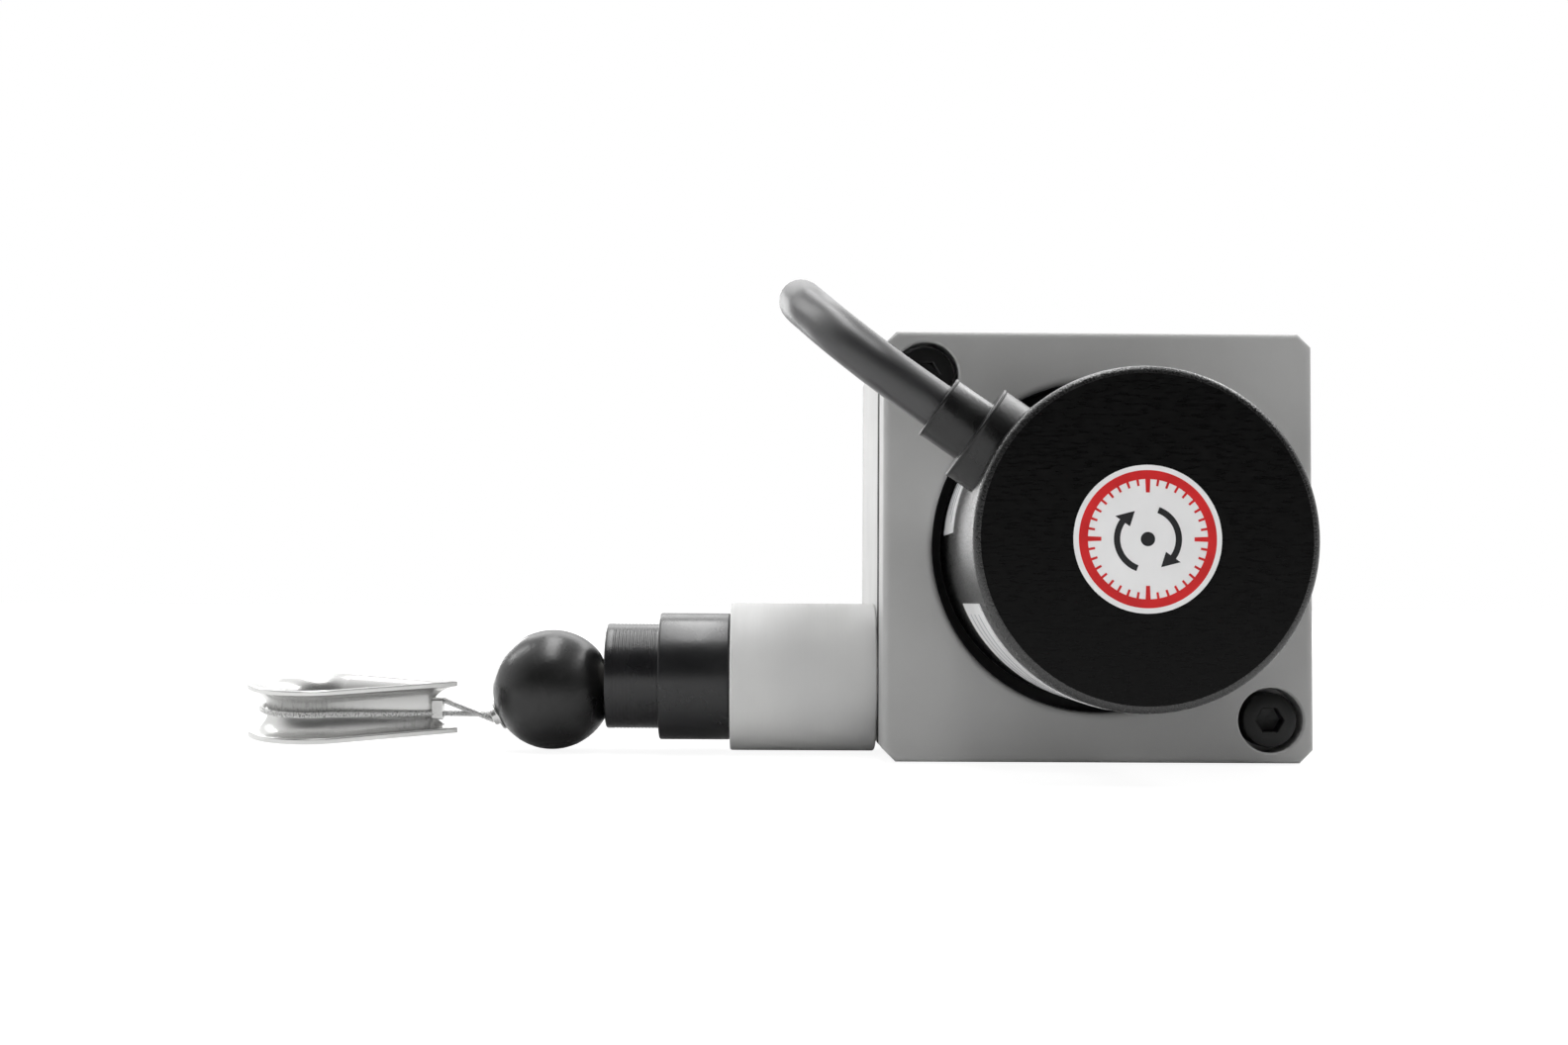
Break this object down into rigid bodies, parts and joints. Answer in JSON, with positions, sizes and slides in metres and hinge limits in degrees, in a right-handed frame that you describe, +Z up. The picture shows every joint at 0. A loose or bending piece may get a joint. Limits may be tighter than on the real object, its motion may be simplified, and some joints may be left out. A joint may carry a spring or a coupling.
{
  "type": "draw-wire encoder",
  "caption": "Draw-wire encoder: square aluminium drum housing with a round black rotary encoder on its face, a stepped wire outlet, ball stop and thimble eye.",
  "frame": {"origin": "middle of the housing's underside, at the centre of its four fixing holes", "axes": "+X away from the wire outlet, +Y from the encoder's face towards the rear cover, +Z up"},
  "size_m": [0.16, 0.1713, 0.064],
  "materials": {
    "anodised_grey": "bead blasted and anodised, satin mid grey",
    "natural_aluminium": "fine turned and milled, satin",
    "black_screw": "black oxide",
    "bearing_steel": "ground and polished",
    "steel": "ground",
    "spring_steel": "blued strip",
    "wire_rope": "stranded stainless wire",
    "stainless": "polished stainless",
    "can_paint": "black fine-texture paint",
    "disc_glass": "etched glass",
    "sensor_plastic": "moulded",
    "board_green": "solder mask",
    "label_white": "printed film",
    "grommet_rubber": "moulded, matte",
    "cable_jacket": "smooth jacket, satin",
    "lead_colours": "insulated leads",
    "tie_plastic": "moulded strap",
    "felt": "dense felt",
    "outlet_plastic": "turned black plastic",
    "ceramic": "glazed ceramic"
  },
  "bodies": {
    "housing": {"front_plate": "anodised_grey", "drum_housing": "natural_aluminium", "rear_cover": "anodised_grey", "plate_screws": "black_screw", "cover_screws": "black_screw", "encoder_screws": "black_screw", "drum_bearing_outer_rings": "bearing_steel", "encoder_bearing_outer_rings": "bearing_steel", "power_spring": "spring_steel", "spring_anchor_pin": "steel", "encoder_base": "natural_aluminium", "encoder_can": "can_paint", "light_source": "sensor_plastic", "reticle": "disc_glass", "light_detector": "sensor_plastic", "circuit_board": "board_green", "board_standoffs": "steel", "board_connector": "sensor_plastic", "face_sticker": "label_white", "upper_can_label": "label_white", "lower_can_label": "label_white", "cable_grommet": "grommet_rubber", "cable_inlet": "cable_jacket", "inner_leads": "lead_colours", "outlet_cylinder": "natural_aluminium", "felt_wiper": "felt", "outlet_bush": "outlet_plastic", "outlet_nozzle": "outlet_plastic", "wire_eyelet": "ceramic", "signal_cable": "cable_jacket", "cable_coil": "cable_jacket", "cable_tie": "tie_plastic", "cable_tail": "cable_jacket", "cable_leads": "lead_colours"},
    "drum": {"wire_drum": "natural_aluminium", "wire_winding": "wire_rope", "drum_shaft": "steel", "drum_key": "steel", "spring_arbor": "steel", "drum_bearing_inner_rings": "bearing_steel", "encoder_bearing_inner_rings": "bearing_steel", "encoder_shaft": "steel", "disc_hub": "natural_aluminium", "hub_screw": "black_screw", "code_disc": "disc_glass"},
    "bearing_balls": {"drum_bearing_balls": "bearing_steel", "encoder_bearing_balls": "bearing_steel"},
    "wire_end": {"wire_run": "wire_rope", "wire_stem": "wire_rope", "ball_stop": "grommet_rubber", "end_ferrule": "stainless", "wire_loop": "wire_rope", "loop_crimp": "stainless", "thimble": "stainless"}
  },
  "joints": [
    {"name": "wire_pull", "type": "slide", "parent": "housing", "child": "wire_end", "axis": [-1, 0, 0], "range_m": [0, 1], "stiffness_N_per_m": 3, "springref_m": -1.4, "deforming": ["wire_run"]},
    {"name": "drum_spin", "type": "hinge", "parent": "housing", "child": "drum", "pos_m": [0, 0, 0.0275], "axis": [0, 1, 0], "range_deg": [0, 3275]},
    {"name": "ball_spin", "type": "hinge", "parent": "housing", "child": "bearing_balls", "pos_m": [0, 0, 0.0275], "axis": [0, 1, 0], "range_deg": [0, 1365]}
  ],
  "couplings": [
    {"joint": "drum_spin", "follows": "wire_pull", "rad_per_m": 57.143},
    {"joint": "ball_spin", "follows": "wire_pull", "rad_per_m": 23.81}
  ]
}
